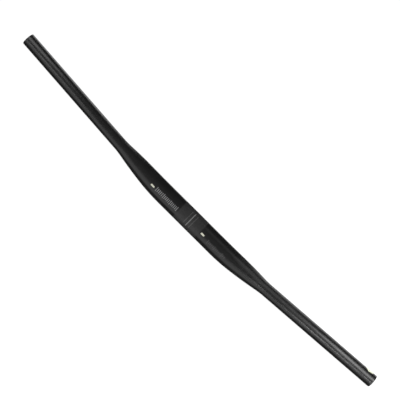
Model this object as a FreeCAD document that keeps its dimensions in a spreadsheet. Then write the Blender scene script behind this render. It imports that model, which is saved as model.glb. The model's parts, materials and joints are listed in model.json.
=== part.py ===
import FreeCAD, Part
import math
import os
import Sketcher

# driving dimensions, in millimetres and degrees
size = {
    "overall_width": 800.0,
    "clamp_diameter": 35.0,
    "grip_diameter": 22.2,
    "barrel_length": 116.0,
    "bend_radius": 280.0,
    "sweep_angle": 9.0,
    "ogive_radius": 860.0,
    "swage_radius": 140.0,
    "clamp_wall": 2.4,
    "taper_wall": 1.9,
    "grip_wall": 1.6,
    "end_wall": 1.9,
    "end_bore_length": 40.0,
    "butt_length": 30.0,
    "edge_break": 0.6,
}
elbow_steps = 4

doc = FreeCAD.newDocument("Handlebar")

# the sheet that every sketch reads
sheet = doc.addObject("Spreadsheet::Sheet", "Dimensions")
for row, (name, value) in enumerate(size.items(), start=1):
    sheet.set(f"A{row}", name)
    sheet.set(f"B{row}", str(value))
    sheet.setAlias(f"B{row}", name)
doc.recompute()

# formulas that several features share, written as expressions on the sheet
sweep = "Dimensions.sweep_angle"
bend = "Dimensions.bend_radius"
clamp_radius = "Dimensions.clamp_diameter / 2"
grip_radius = "Dimensions.grip_diameter / 2"
barrel_end = "Dimensions.barrel_length / 2"
elbow_length = f"{bend} * {sweep} * pi / 180"
elbow_end_x = f"({barrel_end} + {bend} * sin({sweep}))"
elbow_end_y = f"{bend} * (1 - cos({sweep}))"
end_centre_x = f"(Dimensions.overall_width / 2 - {grip_radius} * sin({sweep}))"
arm_length = f"({end_centre_x} - {elbow_end_x}) / cos({sweep})"
sweep_depth = f"({elbow_end_y} + {arm_length} * sin({sweep}))"
rest_tilt = f"asin(({clamp_radius} - {grip_radius}) / {sweep_depth})"


def origin_plane(body, role):
    for feature in body.Origin.OriginFeatures:
        if feature.Role == role:
            return feature
    raise ValueError(f"no origin plane {role}")


def sketch_on(body, name, role, turn_axis, turn="0", **shifts):
    # a sketch on an origin plane, turned about one axis of that plane and shifted along the others
    sketch = body.newObject("Sketcher::SketchObject", name)
    sketch.AttachmentSupport = [(origin_plane(body, role), "")]
    sketch.MapMode = "FlatFace"
    sketch.AttachmentOffset = FreeCAD.Placement(FreeCAD.Vector(), FreeCAD.Rotation(turn_axis, 1))
    sketch.setExpression("AttachmentOffset.Rotation.Angle", turn)
    for axis, shift in shifts.items():
        sketch.setExpression(f"AttachmentOffset.Base.{axis}", shift)
    return sketch


def bind(sketch, name, constraint, expression):
    index = sketch.addConstraint(constraint)
    sketch.renameConstraint(index, name)
    sketch.setExpression(f"Constraints.{name}", expression)


def ring_section(body, name, outer, inner, **place):
    # two circles about one centre, in a plane across the tube
    sketch = sketch_on(body, name, "YZ_Plane", FreeCAD.Vector(0, 1, 0), **place)
    rough = size["clamp_diameter"] / 2
    for index, (edge, radius) in enumerate((("outer", outer), ("inner", inner))):
        start = rough - index * size["clamp_wall"]
        sketch.addGeometry(Part.Circle(FreeCAD.Vector(), FreeCAD.Vector(0, 0, 1), start))
        sketch.addConstraint(Sketcher.Constraint("Coincident", index, 3, -1, 1))
        bind(sketch, edge, Sketcher.Constraint("Radius", index, start), radius)
    return sketch


def ogive(wall, travelled):
    # radius of the taper's convex stretch, one wall inside its outer face
    arc = f"(Dimensions.ogive_radius - {wall})"
    height = f"sqrt({arc} * {arc} - ({travelled}) * ({travelled}))"
    return f"{clamp_radius} - Dimensions.ogive_radius + {height}"


def arm_profile(body):
    # half of the arm's wall in section: x runs out along the swept axis, y away from it
    place = {"turn": sweep, "x": elbow_end_x, "y": elbow_end_y}
    sketch = sketch_on(body, "ArmProfile", "XY_Plane", FreeCAD.Vector(0, 0, 1), **place)

    def arc(centre, radius, start, end):
        circle = Part.Circle(FreeCAD.Vector(*centre, 0), FreeCAD.Vector(0, 0, 1), radius)
        return sketch.addGeometry(Part.ArcOfCircle(circle, start, end))

    def line(start, end):
        return sketch.addGeometry(Part.LineSegment(FreeCAD.Vector(*start, 0), FreeCAD.Vector(*end, 0)))

    def fix(kind, *where):
        sketch.addConstraint(Sketcher.Constraint(kind, *where))

    def measure(name, kind, *where_and_value, by):
        bind(sketch, name, Sketcher.Constraint(kind, *where_and_value), by)

    # first positions, close to where the constraints put them
    turn = math.radians(size["sweep_angle"])
    clamp = size["clamp_diameter"] / 2
    grip = size["grip_diameter"] / 2
    wall = size["taper_wall"]
    edge = size["edge_break"]
    butt = size["butt_length"]
    elbow_run = size["bend_radius"] * turn
    elbow_x = size["barrel_length"] / 2 + size["bend_radius"] * math.sin(turn)
    tip = (size["overall_width"] / 2 - grip * math.sin(turn) - elbow_x) / math.cos(turn)
    both_arcs = size["ogive_radius"] + size["swage_radius"]
    lean = math.acos(1 - (clamp - grip) / both_arcs)
    taper_end = both_arcs * math.sin(lean) - elbow_run
    ogive_centre = (-elbow_run, clamp - size["ogive_radius"])
    swage_centre = (taper_end, grip + size["swage_radius"])
    ogive_span = (math.pi / 2 - lean, math.acos(elbow_run / size["ogive_radius"]))
    swage_span = (1.5 * math.pi - lean, 1.5 * math.pi)
    end_bore = grip - size["end_wall"]
    grip_bore = grip - size["grip_wall"]
    bore_foot = tip - size["end_bore_length"]

    outer_ogive = arc(ogive_centre, size["ogive_radius"], *ogive_span)
    outer_swage = arc(swage_centre, size["swage_radius"], *swage_span)
    grip_line = line((taper_end, grip), (tip - edge, grip))
    outer_break = line((tip - edge, grip), (tip, grip - edge))
    end_face = line((tip, grip - edge), (tip, end_bore + edge))
    inner_break = line((tip, end_bore + edge), (tip - edge, end_bore))
    bore_line = line((tip - edge, end_bore), (bore_foot, end_bore))
    end_butt = line((bore_foot, end_bore), (bore_foot - butt, grip_bore))
    thin_line = line((bore_foot - butt, grip_bore), (taper_end + butt, grip_bore))
    taper_butt = line((taper_end + butt, grip_bore), (taper_end, grip - wall))
    inner_swage = arc(swage_centre, size["swage_radius"] + wall, *swage_span)
    inner_ogive = arc(ogive_centre, size["ogive_radius"] - wall, *ogive_span)
    elbow_face = line((0, clamp - wall), (0, clamp))

    # one closed outline, smooth along the taper
    run = [grip_line, outer_break, end_face, inner_break, bore_line, end_butt, thin_line, taper_butt]
    for before, after in zip(run, run[1:]):
        fix("Coincident", before, 2, after, 1)
    fix("Coincident", taper_butt, 2, inner_swage, 2)
    fix("Coincident", inner_ogive, 2, elbow_face, 1)
    fix("Coincident", elbow_face, 2, outer_ogive, 2)
    fix("Coincident", inner_ogive, 3, outer_ogive, 3)
    fix("Coincident", inner_swage, 3, outer_swage, 3)
    fix("Tangent", outer_ogive, 1, outer_swage, 1)
    fix("Tangent", outer_swage, 2, grip_line, 1)
    fix("Tangent", inner_ogive, 1, inner_swage, 1)
    fix("Vertical", inner_swage, 2, inner_swage, 3)
    fix("PointOnObject", elbow_face, 1, -2)
    for upright in (end_face, elbow_face):
        fix("Vertical", upright)
    for level in (grip_line, bore_line, thin_line):
        fix("Horizontal", level)

    # sizes from the sheet
    ogive_arc = "Dimensions.ogive_radius"
    measure("ogive", "Radius", outer_ogive, size["ogive_radius"], by=ogive_arc)
    measure("swage", "Radius", outer_swage, size["swage_radius"], by="Dimensions.swage_radius")
    inner_radius = size["ogive_radius"] - wall
    measure("ogive_inside", "Radius", inner_ogive, inner_radius, by=f"{ogive_arc} - Dimensions.taper_wall")
    measure("ogive_back", "DistanceX", outer_ogive, 3, -1, 1, elbow_run, by=elbow_length)
    drop = size["ogive_radius"] - clamp
    measure("ogive_drop", "DistanceY", outer_ogive, 3, -1, 1, drop, by=f"{ogive_arc} - {clamp_radius}")
    measure("grip", "DistanceY", -1, 1, grip_line, 1, grip, by=grip_radius)
    measure("tip", "DistanceX", -1, 1, end_face, 1, tip, by=arm_length)
    measure("outer_break_x", "DistanceX", outer_break, 1, outer_break, 2, edge, by="Dimensions.edge_break")
    measure("outer_break_y", "DistanceY", outer_break, 2, outer_break, 1, edge, by="Dimensions.edge_break")
    measure("inner_break_x", "DistanceX", inner_break, 2, inner_break, 1, edge, by="Dimensions.edge_break")
    measure("inner_break_y", "DistanceY", inner_break, 2, inner_break, 1, edge, by="Dimensions.edge_break")
    measure("bore", "DistanceY", -1, 1, bore_line, 1, end_bore, by=f"{grip_radius} - Dimensions.end_wall")
    measure("thin", "DistanceY", -1, 1, thin_line, 1, grip_bore, by=f"{grip_radius} - Dimensions.grip_wall")
    bore_length = size["end_bore_length"]
    measure("depth", "DistanceX", bore_line, 2, end_face, 2, bore_length, by="Dimensions.end_bore_length")
    measure("end_butt", "DistanceX", end_butt, 2, end_butt, 1, butt, by="Dimensions.butt_length")
    measure("taper_butt", "DistanceX", taper_butt, 2, taper_butt, 1, butt, by="Dimensions.butt_length")
    return sketch


handlebar = doc.addObject("PartDesign::Body", "Handlebar")
handlebar.Label = "handlebar"

# straight barrel that the stem clamps
barrel = handlebar.newObject("PartDesign::Pad", "Barrel")
barrel.Profile = ring_section(
    handlebar, "BarrelSection", clamp_radius, f"{clamp_radius} - Dimensions.clamp_wall"
)
barrel.SideType = "Symmetric"
barrel.setExpression("Length", "Dimensions.barrel_length")
doc.recompute()

# elbow: rings along the bend, where the taper begins and the wall thins
rings = []
for step in range(elbow_steps + 1):
    share = f"{step} / {elbow_steps}"
    turn = f"{sweep} * {share}"
    wall = f"(Dimensions.clamp_wall + (Dimensions.taper_wall - Dimensions.clamp_wall) * {share})"
    travelled = f"{elbow_length} * {share}"
    place = {"turn": turn, "x": f"{bend} * (1 - cos({turn}))", "z": f"{barrel_end} + {bend} * sin({turn})"}
    rings.append(
        ring_section(handlebar, f"ElbowRing{step}", ogive("0", travelled), ogive(wall, travelled), **place)
    )
elbow = handlebar.newObject("PartDesign::AdditiveLoft", "Elbow")
elbow.Profile = rings[0]
elbow.Sections = rings[1:]
doc.recompute()

# arm: rest of the taper, grip and butted bore, turned about the swept axis
arm = handlebar.newObject("PartDesign::Revolution", "Arm")
arm.Profile = arm_profile(handlebar)
arm.ReferenceAxis = (arm.Profile[0], ["H_Axis"])
arm.Angle = 360
doc.recompute()
one_sided = handlebar.Shape.Volume

# the other half of the bar
other_half = handlebar.newObject("PartDesign::Mirrored", "OtherHalf")
other_half.Originals = [elbow, arm]
other_half.MirrorPlane = (origin_plane(handlebar, "YZ_Plane"), [""])
handlebar.Tip = other_half

# it lies on its barrel and both ends, so it is rolled about the barrel's axis
handlebar.Placement = FreeCAD.Placement(FreeCAD.Vector(), FreeCAD.Rotation(FreeCAD.Vector(-1, 0, 0), 1))
handlebar.setExpression("Placement.Rotation.Angle", rest_tilt)
doc.recompute()

# nothing is written unless everything came out sound
for item in doc.Objects:
    if "Invalid" in item.State or "Error" in item.State:
        raise RuntimeError(f"{item.Name} failed: {item.State}")
shape = handlebar.Shape
if shape.isNull() or not shape.isValid() or len(shape.Solids) != 1:
    raise RuntimeError("the handlebar isn't one valid solid")
if shape.Volume <= one_sided:
    raise RuntimeError("the other half is missing")

os.makedirs("parts", exist_ok=True)
shape.exportStep(f"parts/{handlebar.Label}.step")
print("volume in cubic mm:", round(shape.Volume, 1))
print("rest tilt in degrees:", round(math.degrees(handlebar.Placement.Rotation.Angle), 4))
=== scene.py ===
import json
import math

import bmesh
import bpy
from mathutils import Matrix, Vector


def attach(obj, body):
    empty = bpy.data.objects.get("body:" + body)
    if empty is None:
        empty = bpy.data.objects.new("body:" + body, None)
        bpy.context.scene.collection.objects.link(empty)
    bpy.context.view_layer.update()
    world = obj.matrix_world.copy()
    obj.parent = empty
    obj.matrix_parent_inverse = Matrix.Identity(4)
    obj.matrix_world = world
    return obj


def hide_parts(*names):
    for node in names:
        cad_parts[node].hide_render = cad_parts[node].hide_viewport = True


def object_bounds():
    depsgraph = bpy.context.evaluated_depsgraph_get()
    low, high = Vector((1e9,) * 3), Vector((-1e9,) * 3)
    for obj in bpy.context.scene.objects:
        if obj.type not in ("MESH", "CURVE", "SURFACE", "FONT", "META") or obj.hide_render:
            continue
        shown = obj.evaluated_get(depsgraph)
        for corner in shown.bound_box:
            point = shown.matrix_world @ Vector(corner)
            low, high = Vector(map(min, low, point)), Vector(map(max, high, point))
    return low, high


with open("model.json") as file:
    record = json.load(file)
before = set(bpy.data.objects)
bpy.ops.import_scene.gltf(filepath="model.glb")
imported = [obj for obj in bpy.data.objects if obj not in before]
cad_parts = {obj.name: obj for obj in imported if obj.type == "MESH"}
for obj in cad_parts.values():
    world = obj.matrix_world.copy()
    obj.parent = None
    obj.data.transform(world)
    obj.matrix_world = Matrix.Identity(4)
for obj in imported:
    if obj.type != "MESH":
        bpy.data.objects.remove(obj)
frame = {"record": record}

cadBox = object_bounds()
mm = 0.001
mounts = {mount["name"]: mount for mount in frame["record"]["mounts"]}
clampMount = mounts["stem_clamp"]["dims"]
gripMount = mounts["right_grip"]["dims"]
boreMount = mounts["right_end_bore"]["dims"]
outward = Vector(mounts["right_grip"]["axis"]).normalized()  # right arm, towards its open end
sweep = math.acos(outward.x)
restTilt = math.atan2(-outward.z, outward.y)
print("frame read: sweep %.2f deg, rest tilt %.2f deg" % (math.degrees(sweep), math.degrees(restTilt)))

# the photo's view: from in front and above, with the bar running down to the right
shot = {
    "elevation": math.radians(33.6),
    "barSlope": math.radians(44.85),  # bar below the picture's horizontal
    "distance": 6.0,
    "mmPerPixel": 1.6275,
    "pictureSize": 400,
    "barrelPixel": (190.65, 219.85),  # middle of the barrel in the picture
    "sensorWidth": 36,
}
toCamera = Vector((0, -math.cos(shot["elevation"]), math.sin(shot["elevation"])))
upward = Vector((0, math.sin(shot["elevation"]), math.cos(shot["elevation"])))
sideways = Vector((1, 0, 0))


def makeCamera():
    turn = shot["barSlope"]
    right = sideways * math.cos(turn) + upward * math.sin(turn)
    up = upward * math.cos(turn) - sideways * math.sin(turn)
    half = shot["pictureSize"] / 2
    pixel = shot["mmPerPixel"] * mm
    across, down = shot["barrelPixel"]
    aim = (right * (half - across) + up * (down - half)) * pixel
    data = bpy.data.cameras.new("photoCamera")
    data.sensor_width = shot["sensorWidth"]
    data.lens = shot["sensorWidth"] * shot["distance"] / (shot["pictureSize"] * pixel)
    camera = bpy.data.objects.new("photoCamera", data)
    bpy.context.scene.collection.objects.link(camera)
    turned = Matrix((right, up, toCamera)).transposed().to_4x4()
    camera.matrix_world = Matrix.Translation(aim + toCamera * shot["distance"]) @ turned
    bpy.context.scene.camera = camera
    print("camera set, lens %.0f mm" % data.lens)


makeCamera()


# helpers for modelling
def startFresh():
    bpy.ops.object.select_all(action="DESELECT")


def editPoints():
    bpy.ops.object.mode_set(mode="EDIT")
    bpy.context.tool_settings.mesh_select_mode = (True, False, False)


def selectVerts(piece, wanted):
    mesh = bmesh.from_edit_mesh(piece.data)
    for vert in mesh.verts:
        vert.select = wanted(vert.co)
    mesh.select_flush(True)
    mesh.select_flush(False)
    bmesh.update_edit_mesh(piece.data)


def turnSelected(angle, axis, pivot):
    # with no window the operator turns the other way
    bpy.ops.transform.rotate(value=-angle, orient_axis=axis, orient_type="GLOBAL", center_override=pivot)


def applyModifiers(piece):
    bpy.context.view_layer.objects.active = piece
    for modifier in list(piece.modifiers):
        bpy.ops.object.modifier_apply(modifier=modifier.name)


def faceOutwards():
    bpy.ops.object.mode_set(mode="EDIT")
    bpy.ops.mesh.select_all(action="SELECT")
    bpy.ops.mesh.normals_make_consistent(inside=False)
    bpy.ops.object.mode_set(mode="OBJECT")


def thicken(piece, film):
    # a film that is partly sunk into the bar, so that no gap shows under it
    solid = piece.modifiers.new("film", "SOLIDIFY")
    solid.thickness = film["sunk"] + film["proud"]
    solid.offset = 1 - 2 * film["sunk"] / solid.thickness
    applyModifiers(piece)


# the bar: one butted, swaged and bent tube
bar = {
    "clampRadius": clampMount["r_mm"] * mm,
    "barrelHalf": clampMount["length_mm"] * mm / 2,
    "gripRadius": gripMount["r_mm"] * mm,
    "gripLength": gripMount["length_mm"] * mm,
    "boreRadius": boreMount["r_mm"] * mm,
    "boreLength": boreMount["length_mm"] * mm,
    "bendRadius": 280 * mm,
    "ogiveRadius": 860 * mm,
    "swageRadius": 140 * mm,
    "clampWall": 2.4 * mm,
    "taperWall": 1.9 * mm,
    "gripWall": 1.6 * mm,
    "buttLength": 30 * mm,
    "edgeBreak": 0.6 * mm,
    "roughHalf": 24.7 * mm,  # blasted band under the stem
    "bendSteps": 12,
    "taperStep": 3.5 * mm,
    "straightStep": 12 * mm,
    "aroundSteps": 144,
    "mergeGap": 0.002 * mm,
    "smoothAngle": math.radians(30),
}
# lengths along the straightened bar, from its middle
bothArcs = bar["ogiveRadius"] + bar["swageRadius"]
taperLean = math.acos(1 - (bar["clampRadius"] - bar["gripRadius"]) / bothArcs)
taperLength = bothArcs * math.sin(taperLean)
elbowLength = bar["bendRadius"] * sweep
elbowEnd = bar["barrelHalf"] + elbowLength
taperEnd = bar["barrelHalf"] + taperLength
gripEnd = taperEnd + bar["gripLength"]
boreFoot = gripEnd - bar["boreLength"]
tip = gripEnd + bar["edgeBreak"]


def skinRadius(along, wall=0):
    # radius of the straightened bar, one wall inside its outer face
    travelled = abs(along) - bar["barrelHalf"]
    if travelled <= 0:
        return bar["clampRadius"] - wall
    arc = bar["ogiveRadius"] - wall
    if travelled < arc * math.sin(taperLean):
        return bar["clampRadius"] - bar["ogiveRadius"] + math.sqrt(arc**2 - travelled**2)
    arc = bar["swageRadius"] + wall
    left = max(taperLength - travelled, 0)
    return bar["gripRadius"] + bar["swageRadius"] - math.sqrt(arc**2 - left**2)


def innerRadius(along):
    # butted wall: thick barrel and ends, thin grips
    if along <= taperEnd:
        share = min(max((along - bar["barrelHalf"]) / elbowLength, 0), 1)
        return skinRadius(along, bar["clampWall"] + (bar["taperWall"] - bar["clampWall"]) * share)
    taperBore = bar["gripRadius"] - bar["taperWall"]
    thinBore = bar["gripRadius"] - bar["gripWall"]
    fromTaper = min((along - taperEnd) / bar["buttLength"], 1)
    fromBore = min(max((boreFoot - along) / bar["buttLength"], 0), 1)
    opened = taperBore + (thinBore - taperBore) * fromTaper
    return min(opened, bar["boreRadius"] + (thinBore - bar["boreRadius"]) * fromBore)


def evenStops(start, end, count):
    return [start + (end - start) * index / count for index in range(count)]


def spread(start, end, step):
    return evenStops(start, end, max(math.ceil((end - start) / step), 1))


def wallSection():
    # right half of the wall, from the middle out to the tip and back inside
    edge = bar["edgeBreak"]
    stops = spread(0, bar["roughHalf"], bar["straightStep"])
    stops += spread(bar["roughHalf"], bar["barrelHalf"], bar["straightStep"])
    stops += evenStops(bar["barrelHalf"], elbowEnd, bar["bendSteps"])
    stops += spread(elbowEnd, taperEnd, bar["taperStep"])
    butts = [taperEnd, taperEnd + bar["buttLength"], boreFoot - bar["buttLength"], boreFoot, gripEnd]
    for start, end in zip(butts, butts[1:]):
        stops += spread(start, end, bar["straightStep"])
    stops += [gripEnd]
    outside = [(along, skinRadius(along)) for along in stops]
    endRing = [(tip, bar["gripRadius"] - edge), (tip, bar["boreRadius"] + edge)]
    inside = [(along, innerRadius(along)) for along in reversed(stops)]
    return outside + endRing + inside


def turnBar():
    startFresh()
    section = wallSection()
    bpy.ops.mesh.primitive_plane_add(size=1 * mm, location=(section[0][0], 0, section[0][1]))
    piece = bpy.context.object
    piece.name = piece.data.name = "barTube"
    bpy.ops.object.transform_apply(location=True, rotation=True, scale=True)
    bpy.ops.object.mode_set(mode="EDIT")
    bpy.ops.mesh.select_all(action="SELECT")
    bpy.ops.mesh.merge(type="CENTER")  # one point, drawn along the section
    for before, after in zip(section, section[1:]):
        step = (after[0] - before[0], 0, after[1] - before[1])
        bpy.ops.mesh.extrude_region_move(TRANSFORM_OT_translate={"value": step})
    bpy.ops.mesh.select_all(action="SELECT")
    bpy.ops.mesh.spin(steps=bar["aroundSteps"], angle=2 * math.pi, center=(0, 0, 0), axis=(1, 0, 0))
    bpy.ops.mesh.select_all(action="SELECT")
    bpy.ops.mesh.remove_doubles(threshold=bar["mergeGap"])
    bpy.ops.object.mode_set(mode="OBJECT")
    mirror = piece.modifiers.new("otherHalf", "MIRROR")
    mirror.merge_threshold = bar["mergeGap"]
    applyModifiers(piece)
    faceOutwards()
    print("bar turned:", len(piece.data.vertices), "points")
    return piece


def shareFinishes(piece):
    # 0 satin outside, 1 blasted band, 2 bore, 3 cut ends
    for face in piece.data.polygons:
        along = abs(face.center.x)
        middle = (skinRadius(along) + innerRadius(along)) / 2
        if along > gripEnd:
            face.material_index = 3
        elif math.hypot(face.center.y, face.center.z) < middle:
            face.material_index = 2
        elif along < bar["roughHalf"]:
            face.material_index = 1
        else:
            face.material_index = 0


def keepStraightPlace(piece):
    # where each point lies on the straight tube, for patterns that follow the bend
    place = piece.data.attributes.new("straightPlace", "FLOAT_VECTOR", "POINT")
    for point, vert in zip(place.data, piece.data.vertices):
        point.vector = vert.co


def bendWithBar(piece):
    # bends what was made straight, a little at each step, and lays it down
    keepStraightPlace(piece)
    bpy.context.view_layer.objects.active = piece
    editPoints()
    step = elbowLength / bar["bendSteps"]
    turn = sweep / bar["bendSteps"]
    for side in (1, -1):
        for index in reversed(range(bar["bendSteps"])):
            pivot = bar["barrelHalf"] + (index + 0.5) * step
            selectVerts(piece, lambda co: co.x * side > pivot)
            turnSelected(turn * side, "Z", (pivot * side, 0, 0))
    bpy.ops.mesh.select_all(action="SELECT")
    turnSelected(-restTilt, "X", (0, 0, 0))
    bpy.ops.object.mode_set(mode="OBJECT")
    bpy.ops.object.shade_smooth_by_angle(angle=bar["smoothAngle"])


barTube = turnBar()
shareFinishes(barTube)
bendWithBar(barTube)
print("bar bent and laid down")


# shader maths on sockets
class Wire:
    def __init__(self, tree, socket):
        self.tree = tree
        self.socket = socket

    def maths(self, operation, first, second):
        node = self.tree.nodes.new("ShaderNodeMath")
        node.operation = operation
        plug(self.tree, node.inputs[0], first)
        plug(self.tree, node.inputs[1], second)
        return Wire(self.tree, node.outputs[0])

    def __add__(self, other):
        return self.maths("ADD", self, other)

    def __radd__(self, other):
        return self.maths("ADD", other, self)

    def __sub__(self, other):
        return self.maths("SUBTRACT", self, other)

    def __rsub__(self, other):
        return self.maths("SUBTRACT", other, self)

    def __mul__(self, other):
        return self.maths("MULTIPLY", self, other)

    def __rmul__(self, other):
        return self.maths("MULTIPLY", other, self)


def plug(tree, socket, value):
    if isinstance(value, Wire):
        tree.links.new(value.socket, socket)
    else:
        socket.default_value = value


class Finish:
    def __init__(self, owner):
        # owner is a new material, or the world
        owner.use_nodes = True
        self.owner = owner
        self.tree = owner.node_tree
        self.tree.nodes.clear()

    def node(self, kind, settings=None, sockets=None, output=0):
        made = self.tree.nodes.new("ShaderNode" + kind)
        for key, value in (settings or {}).items():
            setattr(made, key, value)
        for key, value in (sockets or {}).items():
            plug(self.tree, made.inputs[key], value)
        return Wire(self.tree, made.outputs[output]) if made.outputs else None

    def straightPlace(self):
        return self.node("Attribute", {"attribute_name": "straightPlace"}, output="Vector")

    def noise(self, place, scale, detail=2.0, stretch=(1, 1, 1)):
        spot = self.node("Mapping", {}, {"Vector": place, "Scale": stretch})
        return self.node("TexNoise", {}, {"Vector": spot, "Scale": scale, "Detail": detail})

    def blend(self, share, first, second):
        # sockets 6 and 7 of the Mix node are its two colours
        return self.node("Mix", {"data_type": "RGBA"}, {0: share, 6: first, 7: second}, output=2)

    def bump(self, height, strength, depth):
        return self.node("Bump", {}, {"Height": height, "Strength": strength, "Distance": depth})

    def cover(self, shader, *pieces):
        self.node("OutputMaterial", {}, {"Surface": shader})
        for piece in pieces:
            piece.data.materials.append(self.owner)

    def coat(self, sockets, *pieces):
        self.cover(self.node("BsdfPrincipled", {}, sockets), *pieces)


def grey(level):
    return (level, level, level, 1)


def contrast(*layers):
    # weighted patterns added up about one half: the more weight, the more contrast
    total = 0.5 - sum(weight for weight, pattern in layers) / 2
    for weight, pattern in layers:
        total = total + weight * pattern
    return total


# pattern scales are in cycles a metre
satin = {
    "dark": grey(0.003),
    "light": grey(0.007),
    "cloudScale": 60,
    "cloudWeight": 1.2,
    "drawnScale": 900,  # faint lines along the drawn tube
    "drawnStretch": (0.02, 1, 1),
    "drawnWeight": 0.8,
    "roughness": 0.18,
    "roughChange": 0.15,
    "grainScale": 2600,
    "grainDepth": 0.02 * mm,
    "grainStrength": 0.6,
}


def satinBlack(piece):
    finish = Finish(bpy.data.materials.new("satinBlack"))
    place = finish.straightPlace()
    cloud = finish.noise(place, satin["cloudScale"], detail=3)
    drawn = finish.noise(place, satin["drawnScale"], stretch=satin["drawnStretch"])
    grain = finish.noise(place, satin["grainScale"])
    share = contrast((satin["cloudWeight"], cloud), (satin["drawnWeight"], drawn))
    finish.coat(
        {
            "Base Color": finish.blend(share, satin["dark"], satin["light"]),
            "Roughness": satin["roughness"] + satin["roughChange"] * (cloud + drawn),
            "Normal": finish.bump(grain, satin["grainStrength"], satin["grainDepth"]),
        },
        piece,
    )


blasted = {
    "dark": grey(0.009),
    "light": grey(0.033),
    "cloudScale": 150,
    "cloudWeight": 0.4,
    "grainScale": 3000,
    "grainWeight": 2.2,
    "grainDepth": 0.04 * mm,
    "grainStrength": 0.6,
    "roughness": 0.55,
    "roughChange": 0.1,
}


def blastedBlack(piece):
    finish = Finish(bpy.data.materials.new("blastedBlack"))
    place = finish.straightPlace()
    cloud = finish.noise(place, blasted["cloudScale"], detail=3)
    grain = finish.noise(place, blasted["grainScale"])
    share = contrast((blasted["cloudWeight"], cloud), (blasted["grainWeight"], grain))
    finish.coat(
        {
            "Base Color": finish.blend(share, blasted["dark"], blasted["light"]),
            "Roughness": blasted["roughness"] + blasted["roughChange"] * grain,
            "Normal": finish.bump(grain, blasted["grainStrength"], blasted["grainDepth"]),
        },
        piece,
    )


bore = {
    "dark": grey(0.015),
    "light": grey(0.04),
    "drawnScale": 700,
    "drawnStretch": (0.03, 1, 1),
    "roughness": 0.4,
    "roughChange": 0.2,
}


def boreBlack(piece):
    finish = Finish(bpy.data.materials.new("boreBlack"))
    drawn = finish.noise(finish.straightPlace(), bore["drawnScale"], stretch=bore["drawnStretch"])
    finish.coat(
        {
            "Base Color": finish.blend(drawn, bore["dark"], bore["light"]),
            "Roughness": bore["roughness"] + bore["roughChange"] * drawn,
        },
        piece,
    )


# fine turning rings round the cut ends
cut = {
    "dark": grey(0.006),
    "light": grey(0.03),
    "ringScale": 7000,
    "ringWeight": 3,
    "ringDepth": 0.01 * mm,
    "ringStrength": 0.5,
    "roughness": 0.3,
    "roughChange": 0.1,
}


def cutBlack(piece):
    finish = Finish(bpy.data.materials.new("cutBlack"))
    across = finish.node("Mapping", {}, {"Vector": finish.straightPlace(), "Scale": (0, 1, 1)})
    radius = finish.node("VectorMath", {"operation": "LENGTH"}, {0: across}, output="Value")
    rings = finish.node(
        "TexNoise", {"noise_dimensions": "1D"}, {"W": radius, "Scale": cut["ringScale"], "Detail": 1.0}
    )
    finish.coat(
        {
            "Base Color": finish.blend(contrast((cut["ringWeight"], rings)), cut["dark"], cut["light"]),
            "Roughness": cut["roughness"] + cut["roughChange"] * rings,
            "Normal": finish.bump(rings, cut["ringStrength"], cut["ringDepth"]),
        },
        piece,
    )


# in the order of the numbers that shareFinishes gives
satinBlack(barTube)
blastedBlack(barTube)
boreBlack(barTube)
cutBlack(barTube)
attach(barTube, "root")
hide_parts("handlebar")
print("bar finished")

# printed marks: lines across the clamp band, plain tick scales and dashes beside it
# a strip is its start and end in mm along the bar, and its lowest and highest angle in degrees
# angles go up round the bar from the side that faces the camera
marks = {
    "film": {"sunk": 0.02 * mm, "proud": 0.03 * mm},
    "around": 360,
    "centreLine": [(-0.7, 0.7, -47, 47)],
    "sideLines": [(-6.15, -5.65, -44, 44), (5.65, 6.15, -44, 44)],
    "leftScale": {"from": -74, "to": -29, "middle": -12, "short": 11, "long": 14},
    "rightScale": {"from": 44, "to": 80, "middle": -19, "short": 8, "long": 13},
    "tickPitch": 3.0,
    "tickWidth": 1.1,
    "longEvery": 5,
    "dashes": [(-85, -78, -21, -10), (27, 34, -16, -5)],
}
inks = {  # colour where the ink is thin and where it is full
    "greyInk": (grey(0.18), grey(0.28)),
    "lineInk": (grey(0.14), grey(0.215)),
    "dimInk": (grey(0.05), grey(0.08)),
    "fineInk": (grey(0.10), grey(0.15)),
    "paleInk": ((0.54, 0.54, 0.44, 1), (0.64, 0.64, 0.53, 1)),
    "speckScale": 2500,
    "roughness": 0.45,
    "roughChange": 0.2,
}
facing = shot["elevation"] - restTilt  # the camera's side, before the bar is laid down


def tickStrips(scale):
    count = round((scale["to"] - scale["from"]) / marks["tickPitch"])
    strips = []
    for index in range(count + 1):
        at = scale["from"] + index * marks["tickPitch"]
        reach = scale["short"] if index % marks["longEvery"] else scale["long"]
        strips.append((at, at + marks["tickWidth"], scale["middle"] - reach, scale["middle"] + reach))
    return strips


def printStrip(strip):
    # a short open ring about the straight tube, cut down to the strip's angles
    start, end = strip[0] * mm, strip[1] * mm
    low, high = (facing + math.radians(angle) for angle in strip[2:])
    startFresh()
    bpy.ops.mesh.primitive_cone_add(
        vertices=marks["around"], radius1=skinRadius(start), radius2=skinRadius(end), depth=end - start,
        end_fill_type="NOTHING", location=((start + end) / 2, 0, 0), rotation=(0, math.pi / 2, 0),
    )
    ring = bpy.context.object
    bpy.ops.object.transform_apply(location=True, rotation=True, scale=True)
    editPoints()
    selectVerts(ring, lambda co: not low <= math.atan2(co.z, -co.y) <= high)
    bpy.ops.mesh.delete(type="VERT")
    bpy.ops.object.mode_set(mode="OBJECT")
    return ring


def printStrips(name, strips):
    rings = [printStrip(strip) for strip in strips]
    startFresh()
    for ring in rings:
        ring.select_set(True)
    piece = rings[0]
    bpy.context.view_layer.objects.active = piece
    if len(rings) > 1:
        bpy.ops.object.join()
    piece.name = piece.data.name = name
    faceOutwards()
    thicken(piece, marks["film"])
    bendWithBar(piece)
    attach(piece, "root")
    return piece


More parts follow.
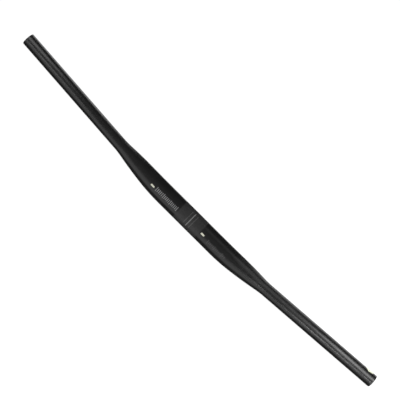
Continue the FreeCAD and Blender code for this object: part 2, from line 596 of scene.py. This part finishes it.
def ink(name, *pieces):
    finish = Finish(bpy.data.materials.new(name))
    speck = finish.noise(finish.straightPlace(), inks["speckScale"], detail=3)
    thin, full = inks[name]
    finish.coat(
        {
            "Base Color": finish.blend(speck, thin, full),
            "Roughness": inks["roughness"] + inks["roughChange"] * speck,
        },
        *pieces,
    )


centreLine = printStrips("centreLine", marks["centreLine"])
sideLines = printStrips("sideLines", marks["sideLines"])
leftScale = printStrips("leftScale", tickStrips(marks["leftScale"]))
rightScale = printStrips("rightScale", tickStrips(marks["rightScale"]))
dashes = printStrips("dashes", marks["dashes"])
ink("lineInk", centreLine)
ink("greyInk", leftScale)
ink("dimInk", rightScale)
ink("fineInk", sideLines)
ink("paleInk", dashes)
print("marks printed")

# blank round sticker near the right end
sticker = {
    "radius": 8.3 * mm,
    "fromTip": 15.4 * mm,
    "angle": math.radians(93),  # up round the grip from the camera's side
    "around": 72,
    "rings": 5,
    "film": {"sunk": 0.02 * mm, "proud": 0.06 * mm},
    "dull": (0.82, 0.85, 0.62, 1),
    "pale": (0.88, 0.91, 0.70, 1),
    "speckScale": 1200,
    "speckDepth": 0.01 * mm,
    "speckStrength": 0.2,
    "roughness": 0.4,
    "roughChange": 0.2,
}


def makeSticker():
    startFresh()
    bpy.ops.mesh.primitive_circle_add(
        vertices=sticker["around"], radius=sticker["radius"], fill_type="NGON"
    )
    piece = bpy.context.object
    piece.name = piece.data.name = "roundSticker"
    bpy.ops.object.mode_set(mode="EDIT")
    bpy.ops.mesh.select_all(action="SELECT")
    for ring in range(sticker["rings"]):
        bpy.ops.mesh.inset(thickness=sticker["radius"] / (sticker["rings"] + 1), depth=0)
    bpy.ops.mesh.poke()
    wrapped = bmesh.from_edit_mesh(piece.data)
    for vert in wrapped.verts:  # laid round the straight grip
        angle = facing + sticker["angle"] + vert.co.y / bar["gripRadius"]
        out = Vector((0, -math.cos(angle), math.sin(angle))) * bar["gripRadius"]
        vert.co = out + sideways * (tip - sticker["fromTip"] + vert.co.x)
    bmesh.update_edit_mesh(piece.data)
    bpy.ops.object.mode_set(mode="OBJECT")
    thicken(piece, sticker["film"])
    bendWithBar(piece)
    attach(piece, "root")
    return piece


def paleFilm(piece):
    finish = Finish(bpy.data.materials.new("paleFilm"))
    speck = finish.noise(finish.straightPlace(), sticker["speckScale"], detail=4)
    finish.coat(
        {
            "Base Color": finish.blend(speck, sticker["dull"], sticker["pale"]),
            "Roughness": sticker["roughness"] + sticker["roughChange"] * speck,
            "Normal": finish.bump(speck, sticker["speckStrength"], sticker["speckDepth"]),
        },
        piece,
    )


paleFilm(makeSticker())
print("sticker laid on")

# floor and room
stage = {
    "floorSize": 80.0,
    "floorColour": grey(0.22),
    "floorGlow": 0.93,
    "glowFrom": 17 * mm,  # painted shadow: no glow where the bar lies closer than this over the floor, so the bar's lower side reflects dark there
    "glowFull": 21 * mm,
    "frontLight": 0.32,
    "frontTo": -1.0,
    "backLight": 0.08,
    "backFrom": 0.7,
}


def makeFloor():
    startFresh()
    bpy.ops.mesh.primitive_plane_add(size=stage["floorSize"], location=(0, 0, cadBox[0][2]))
    floor = bpy.context.object
    floor.name = "floor"
    finish = Finish(bpy.data.materials.new("paleFloor"))
    finish.owner.cycles.emission_sampling = "NONE"  # the glow is looked at and lights nothing
    camera = finish.node("LightPath", output="Is Camera Ray")
    glossy = finish.node("LightPath", output="Is Glossy Ray")
    through = finish.node("LightPath", output="Is Transmission Ray")
    seen = finish.node("Math", {"operation": "MINIMUM"}, {0: camera + glossy + through, 1: 1.0})
    # painted shadow under the bar: the glow fades for short rays, which only the bar's reflections send
    # to the floor close under it
    reach = finish.node("LightPath", output="Ray Length")
    clear = finish.node(
        "MapRange", {}, {"Value": reach, "From Min": stage["glowFrom"], "From Max": stage["glowFull"]}
    )
    matt = finish.node("BsdfDiffuse", {}, {"Color": stage["floorColour"]})
    glow = finish.node("Emission", {}, {"Color": grey(1), "Strength": stage["floorGlow"] * seen * clear})
    finish.cover(finish.node("AddShader", {}, {0: matt, 1: glow}), floor)


def makeRoom():
    # soft and grey, lighter in front of the bar than behind it
    world = bpy.data.worlds.new("studio")
    room = Finish(world)
    towards = room.node("TexCoord", output="Generated")
    depth = room.node("SeparateXYZ", {}, {"Vector": towards}, output="Y")
    light = room.node(
        "MapRange",
        {"interpolation_type": "SMOOTHSTEP"},
        {
            "Value": depth,
            "From Min": stage["frontTo"],
            "From Max": stage["backFrom"],
            "To Min": stage["frontLight"],
            "To Max": stage["backLight"],
        },
    )
    room.node("OutputWorld", {}, {"Surface": room.node("Background", {}, {"Strength": light})})
    bpy.context.scene.world = world


# fill lamps give colours their light: place, aim, size and radiance
fillLamps = {
    "fillFront": ((0, -2.2, 1.1), (0, 0, 0), (3.2, 1.6), 3.8),
    "fillTop": ((0.1, 0.9, 1.8), (0.1, 0, 0), (2.0, 1.2), 0.9),
    "fillEnd": ((0.4, 0.22, 0.3), (0.385, 0.058, 0), (0.25, 0.25), 4.2),
}
# soft boxes near the bar give only the sheen: side, how far in from the tip,
# degrees up round the grip from the camera's side, distance, size and radiance
sheenLamps = {
    "highLeft": (-1, -0.02, 26, 0.3, (0.25, 0.16), 3.0),
    "highRight": (1, 0.005, 25, 0.3, (0.26, 0.16), 7.5),
    "midRight": (1, 0.145, 25, 0.3, (0.42, 0.18), 1.1),
    "barrelRight": (1, 0.375, 53, 0.3, (0.12, 0.16), 0.45),
    "lowLeft": (-1, 0.0, -31, 0.4, (0.32, 0.07), 3.3),
    "lowRight": (1, 0.0, -33, 0.4, (0.42, 0.07), 10.8),
    "rimLeft": (-1, 0.025, 122, 0.35, (0.48, 0.18), 2.1),
    "rimRight": (1, 0.04, 122, 0.35, (0.52, 0.18), 1.8),
}
outwardAim = 0.75  # turns a soft box away from the other grip, as a share of its distance


def makeLamp(name, place, aim, size, radiance, fills):
    data = bpy.data.lights.new(name, "AREA")
    data.shape = "RECTANGLE"
    data.size, data.size_y = size
    data.energy = radiance * math.pi * size[0] * size[1]
    lamp = bpy.data.objects.new(name, data)
    lamp.visible_camera = False
    lamp.visible_diffuse = fills
    lamp.visible_glossy = not fills
    bpy.context.scene.collection.objects.link(lamp)
    look = Vector(aim) - Vector(place)
    turned = look.to_track_quat("-Z", "Y").to_matrix().to_4x4()
    lamp.matrix_world = Matrix.Translation(place) @ turned


def makeSheenLamp(name, side, fromTip, angle, distance, size, radiance):
    # stands where the camera sees it mirrored at that place on the grip
    axis = Vector((outward.x * side, outward.y, outward.z))
    gripMiddle = Vector(mounts["right_grip"]["pos_m"])
    end = gripMiddle + outward * (bar["gripLength"] / 2 + bar["edgeBreak"])
    spot = Vector((end.x * side, end.y, end.z)) - axis * fromTip
    front = (toCamera - axis * toCamera.dot(axis)).normalized()
    over = front.cross(axis) * side
    mirrored = -toCamera.dot(axis)
    aroundGrip = front * math.cos(math.radians(angle)) + over * math.sin(math.radians(angle))
    ray = aroundGrip * math.sqrt(1 - mirrored**2) + axis * mirrored
    aim = spot + axis * distance * outwardAim
    makeLamp(name, spot + ray * distance, aim, size, radiance, fills=False)


makeFloor()
makeRoom()
for name, values in fillLamps.items():
    makeLamp(name, *values, fills=True)
for name, values in sheenLamps.items():
    makeSheenLamp(name, *values)
bpy.context.scene.view_settings.view_transform = "Standard"
print("stage lit")
